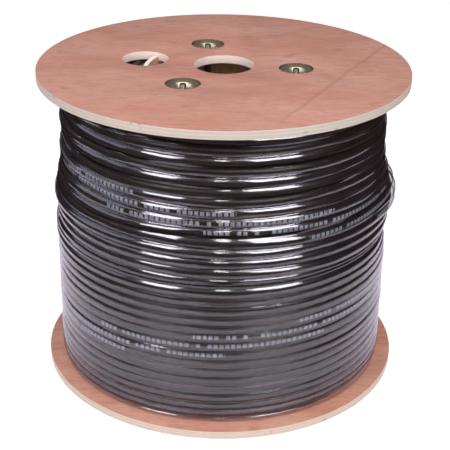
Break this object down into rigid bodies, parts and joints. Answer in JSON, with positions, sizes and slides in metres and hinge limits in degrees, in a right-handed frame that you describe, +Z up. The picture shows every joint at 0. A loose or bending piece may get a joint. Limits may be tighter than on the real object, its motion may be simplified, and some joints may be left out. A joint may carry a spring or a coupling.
{
  "type": "network cable coil",
  "caption": "Full plywood drum wound with black network cable and wrapped in clear stretch film, with a central arbor hole and tie rods.",
  "frame": {"origin": "centre of the underside of the lower flange, where the drum stands", "axes": "+Z up along the drum's axis, -Y towards the side that the picture shows"},
  "size_m": [0.315, 0.315, 0.27],
  "materials": {
    "plywood": "pinkish rotary-cut veneer, bare, with pale sawn ply edges",
    "core_board": "wound kraft board tube",
    "cable_jacket": "black extruded jacket, semi-gloss, with faint grey print marks",
    "stretch_film": "clear creased stretch film",
    "zinc_steel": "yellow passivated zinc plate"
  },
  "bodies": {
    "root": {"top_flange": "plywood", "bottom_flange": "plywood", "core_tube": "core_board", "cable_winding": "cable_jacket", "stretch_film": "stretch_film", "tie_rod_1": "zinc_steel", "tie_rod_2": "zinc_steel", "tie_rod_3": "zinc_steel", "cup_nut_top_1": "zinc_steel", "cup_nut_top_2": "zinc_steel", "cup_nut_top_3": "zinc_steel", "cup_nut_bottom_1": "zinc_steel", "cup_nut_bottom_2": "zinc_steel", "cup_nut_bottom_3": "zinc_steel"}
  },
  "joints": []
}
